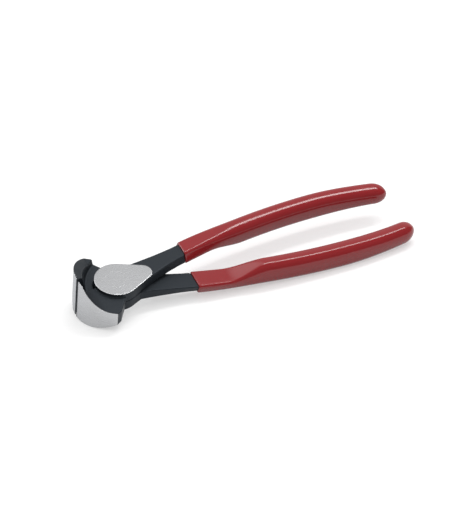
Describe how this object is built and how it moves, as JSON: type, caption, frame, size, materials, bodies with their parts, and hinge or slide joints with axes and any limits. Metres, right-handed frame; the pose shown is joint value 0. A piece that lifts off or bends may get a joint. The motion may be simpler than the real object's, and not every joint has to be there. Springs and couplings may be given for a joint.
{
  "type": "end cutting nippers",
  "caption": "End cutting nippers with wide jaws across the tool's end, forged levers in a riveted lap joint and long bowed handles in dipped vinyl grips.",
  "frame": {"origin": "on the pivot axis, at the ground face of the lower boss", "axes": "+X from the jaws toward the handles, +Z along the pivot from the lower boss to the upper boss, +Y toward the handle of the upper lever"},
  "size_m": [0.2148, 0.0576, 0.0284],
  "materials": {
    "lever_steel": "black oxide forging with ground bright jaw faces and boss faces",
    "rivet_steel": "ground flush",
    "grip_vinyl": "glossy dipped vinyl"
  },
  "bodies": {
    "lower_half": {"lower_lever": "lever_steel", "lower_grip": "grip_vinyl", "pivot_rivet": "rivet_steel"},
    "upper_half": {"upper_lever": "lever_steel", "upper_grip": "grip_vinyl"}
  },
  "joints": [
    {"name": "pivot", "type": "hinge", "parent": "lower_half", "child": "upper_half", "pos_m": [0, 0, 0.0064], "axis": [0, 0, 1], "range_deg": [-2.1, 36]}
  ]
}
